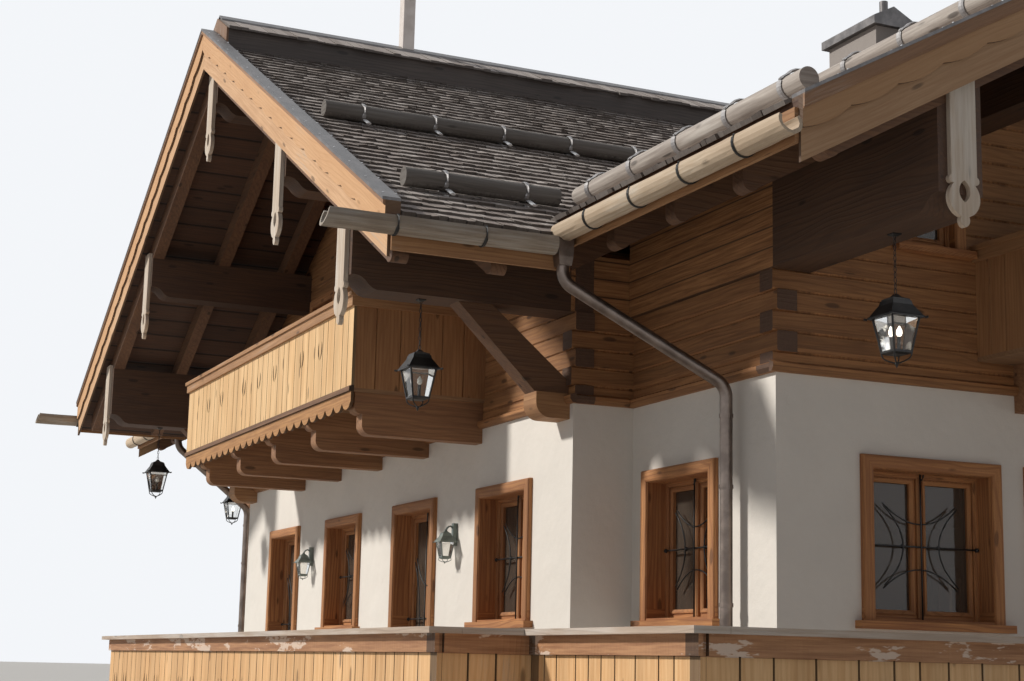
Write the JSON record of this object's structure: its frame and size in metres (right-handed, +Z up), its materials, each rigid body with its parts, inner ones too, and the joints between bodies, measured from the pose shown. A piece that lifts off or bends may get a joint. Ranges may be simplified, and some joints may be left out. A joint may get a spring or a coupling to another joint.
{
  "type": "alpine chalet",
  "caption": "Two-storey alpine chalet: plastered ground storey, squared-log storey, wide shingled cross gables, carved balconies and a board balustrade round its terrace.",
  "frame": {"origin": "middle of the whole part's box, at ground level, where the walls and the balustrade's posts stand", "axes": "+X to the right across the front gable, +Y from the front gable into the depth, +Z up"},
  "size_m": [20.675, 16.675, 8.9288],
  "materials": {
    "plaster": "matt white lime plaster",
    "floor_stone": "matt stone flags",
    "floor_boards": "matt",
    "log_wood": "oiled larch logs",
    "larch": "oiled larch",
    "dark_wood": "oiled larch, darker",
    "shingles": "weathered grey shingles",
    "weathered_wood": "weathered, unfinished",
    "dark_metal": "dark grey, satin",
    "brown_metal": "brown grey, satin",
    "pale_metal": "pale grey, matt",
    "black_iron": "black wrought iron with amber panes",
    "window_glass": "clear window glass"
  },
  "bodies": {
    "root": {"balcony_beams": "larch", "balcony_ends": "larch", "balcony_floors": "larch", "balcony_fronts": "larch", "balcony_rails": "larch", "barge_boards": "larch", "brace_corbels": "larch", "chimney": "plaster", "chimney_cap": "dark_metal", "downpipes": "brown_metal", "drop_boards": "larch", "eaves_boards": "larch", "eaves_braces": "larch", "gable_masonry_walls": "plaster", "ground_floor": "floor_stone", "ground_window_casings": "larch", "ground_window_glass": "window_glass", "ground_window_leaves": "dark_wood", "gutters": "weathered_wood", "lanterns": "black_iron", "main_left_roof_slope": "shingles", "main_log_gables": "log_wood", "main_purlins": "larch", "main_rafters": "larch", "main_right_roof_slope": "shingles", "main_side_log_walls": "log_wood", "main_side_masonry_walls": "plaster", "ridge_caps": "shingles", "ridge_flue": "pale_metal", "snow_guard_brackets": "dark_metal", "snow_guard_logs": "weathered_wood", "terrace_caps": "weathered_wood", "terrace_panels": "larch", "terrace_posts": "larch", "upper_floor": "floor_boards", "upper_window_casings": "larch", "upper_window_glass": "window_glass", "upper_window_leaves": "dark_wood", "verge_flashings": "dark_metal", "wing_back_roof_slopes": "shingles", "wing_flank_log_walls": "log_wood", "wing_flank_masonry_walls": "plaster", "wing_front_roof_slopes": "shingles", "wing_gable_masonry_walls": "plaster", "wing_log_gables": "log_wood", "wing_purlins": "larch", "wing_rafters": "larch"}
  },
  "joints": []
}
